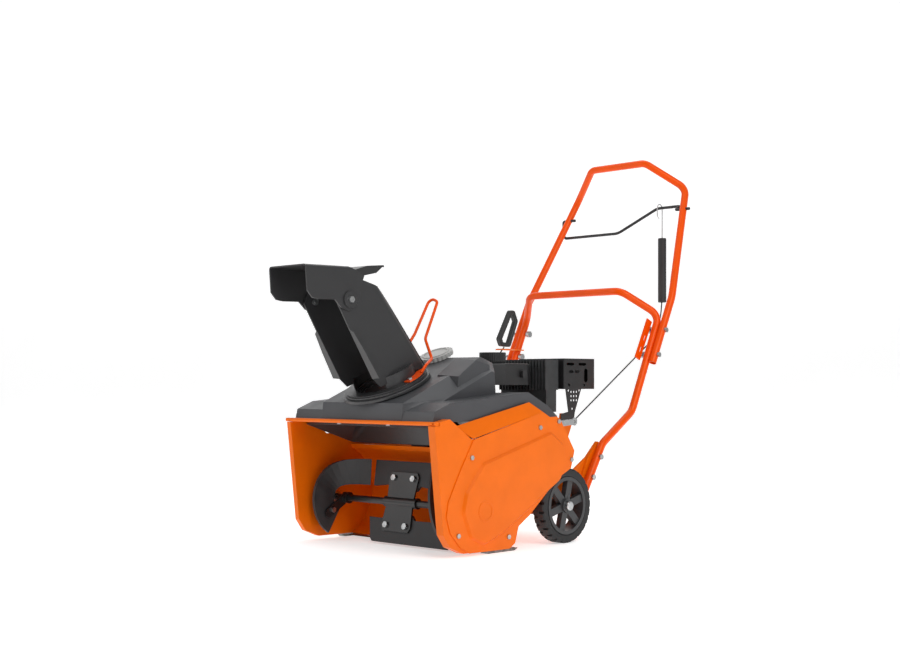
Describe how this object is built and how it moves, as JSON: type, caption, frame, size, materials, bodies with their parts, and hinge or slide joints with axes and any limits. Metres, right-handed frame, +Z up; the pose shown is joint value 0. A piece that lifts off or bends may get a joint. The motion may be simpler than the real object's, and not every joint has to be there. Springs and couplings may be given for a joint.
{
  "type": "snow blower",
  "caption": "Single-stage walk-behind snow blower with orange steel housing, rubber auger, turning chute, deflector, recoil starter, bail handle and wheels.",
  "frame": {"origin": "ground contact plane, at the middle of the machine's footprint box", "axes": "+Z up, +Y rearward from the auger to the operator's handle, +X towards the belt cover side"},
  "size_m": [0.6, 1.412, 1.1301],
  "materials": {
    "orange_paint": "satin",
    "orange_tube": "satin",
    "charcoal_plastic": "satin",
    "black_plastic": "satin",
    "black_metal": "satin",
    "zinc": "satin",
    "flight_rubber": "matte",
    "tyre_rubber": "matte",
    "cast_alloy": "matte",
    "cap_grey": "matte",
    "cord_black": "matte",
    "wheel_grey": "satin",
    "scraper_steel": "satin"
  },
  "bodies": {
    "machine": {"auger_bearings": "zinc", "axle": "zinc", "axle_caps": "zinc", "belt_cover": "orange_paint", "cable_bracket": "orange_tube", "carburettor_shroud": "black_plastic", "chute_collar": "black_plastic", "chute_funnel": "black_plastic", "control_cable": "black_plastic", "cover_bolts": "zinc", "drive_belt": "flight_rubber", "engine_block": "cast_alloy", "engine_cylinder": "cast_alloy", "frame": "orange_paint", "front_lip": "orange_paint", "fuel_tank": "black_plastic", "handle_bolts": "zinc", "hood": "charcoal_plastic", "housing_wrap": "orange_paint", "lower_handle": "orange_tube", "muffler": "black_metal", "muffler_guard": "black_metal", "recoil_housing": "black_plastic", "rope_guide": "orange_paint", "scraper_bar": "scraper_steel", "side_plate_left": "orange_paint", "side_plate_right": "orange_paint", "skid_shoes": "scraper_steel", "spring_sleeve": "black_plastic", "upper_handle": "orange_tube"},
    "auger": {"auger_shaft": "black_metal", "auger_spiral_left": "flight_rubber", "auger_spiral_right": "flight_rubber", "center_paddle": "flight_rubber", "paddle_brackets": "black_metal", "auger_arms": "black_metal", "auger_bolts": "zinc", "auger_pulley": "cast_alloy"},
    "crank": {"crankshaft": "zinc", "flywheel": "cast_alloy", "drive_pulley": "cast_alloy"},
    "idler": {"idler_arm": "zinc"},
    "idler_wheel": {"idler_pulley": "cast_alloy"},
    "wheel_left_body": {"wheel_left": "wheel_grey", "tyre_left": "tyre_rubber"},
    "wheel_right_body": {"wheel_right": "wheel_grey", "tyre_right": "tyre_rubber"},
    "chute_body": {"chute_ring": "black_plastic", "chute_handle": "orange_tube", "chute": "black_plastic"},
    "deflector_body": {"deflector": "black_plastic", "deflector_washers": "black_plastic", "chute_bolts": "zinc"},
    "bail_body": {"bail": "black_metal"},
    "cable_pull_body": {"cable_hook": "zinc"},
    "recoil": {"recoil_grip": "black_plastic", "recoil_rope": "cord_black"},
    "fuel_cap_body": {"fuel_cap": "cap_grey"},
    "choke": {"choke_knob": "black_plastic"},
    "key": {"ignition_key": "black_plastic"}
  },
  "joints": [
    {"name": "auger_spin", "type": "hinge", "parent": "machine", "child": "auger", "pos_m": [0, -0.31495, 0.114], "axis": [1, 0, 0], "continuous": true},
    {"name": "crank_spin", "type": "hinge", "parent": "machine", "child": "crank", "pos_m": [0, -0.04295, 0.243], "axis": [1, 0, 0], "continuous": true},
    {"name": "idler_swing", "type": "hinge", "parent": "machine", "child": "idler", "pos_m": [0.27, -0.02095, 0.318], "axis": [1, 0, 0], "range_deg": [0, 4]},
    {"name": "idler_spin", "type": "hinge", "parent": "idler", "child": "idler_wheel", "pos_m": [0.278, -0.10555, 0.2892], "axis": [1, 0, 0], "continuous": true},
    {"name": "wheel_left_spin", "type": "hinge", "parent": "machine", "child": "wheel_left_body", "pos_m": [-0.269, 0.02805, 0.1016], "axis": [1, 0, 0], "continuous": true},
    {"name": "wheel_right_spin", "type": "hinge", "parent": "machine", "child": "wheel_right_body", "pos_m": [0.269, 0.02805, 0.1016], "axis": [1, 0, 0], "continuous": true},
    {"name": "chute_turn", "type": "hinge", "parent": "machine", "child": "chute_body", "pos_m": [0, -0.37495, 0.436], "axis": [0, -0.3907, 0.9205], "range_deg": [-95, 95]},
    {"name": "deflector_tilt", "type": "hinge", "parent": "chute_body", "child": "deflector_body", "pos_m": [0, -0.56395, 0.643], "axis": [1, 0, 0], "range_deg": [0, 40]},
    {"name": "bail_pull", "type": "hinge", "parent": "machine", "child": "bail_body", "pos_m": [0, 0.66225, 0.968], "axis": [1, 0, 0], "range_deg": [0, 35], "stiffness_Nm_per_rad": 1.2, "springref_deg": -11.46},
    {"name": "cable_pull", "type": "slide", "parent": "machine", "child": "cable_pull_body", "axis": [0, 0, 1], "range_m": [0, 0.0113]},
    {"name": "recoil_pull", "type": "slide", "parent": "machine", "child": "recoil", "axis": [-0.2083, 0.7949, 0.5698], "range_m": [0, 0.045], "stiffness_N_per_m": 60, "springref_m": -0.05},
    {"name": "fuel_cap_turn", "type": "hinge", "parent": "machine", "child": "fuel_cap_body", "pos_m": [-0.01, -0.17295, 0.502], "axis": [0, -0.3907, 0.9205], "range_deg": [0, 90]},
    {"name": "choke_turn", "type": "hinge", "parent": "machine", "child": "choke", "pos_m": [0.084, -0.04895, 0.495], "axis": [0, 0, 1], "range_deg": [-90, 0]},
    {"name": "key_pull", "type": "slide", "parent": "machine", "child": "key", "axis": [1, 0, 0], "range_m": [0, 0.012]}
  ],
  "couplings": [
    {"joint": "crank_spin", "follows": "auger_spin", "ratio": 2.3333},
    {"joint": "idler_spin", "follows": "auger_spin", "ratio": -3.8889},
    {"joint": "cable_pull", "follows": "bail_pull", "m_per_rad": 0.01833},
    {"joint": "idler_swing", "follows": "bail_pull", "ratio": 0.11}
  ]
}
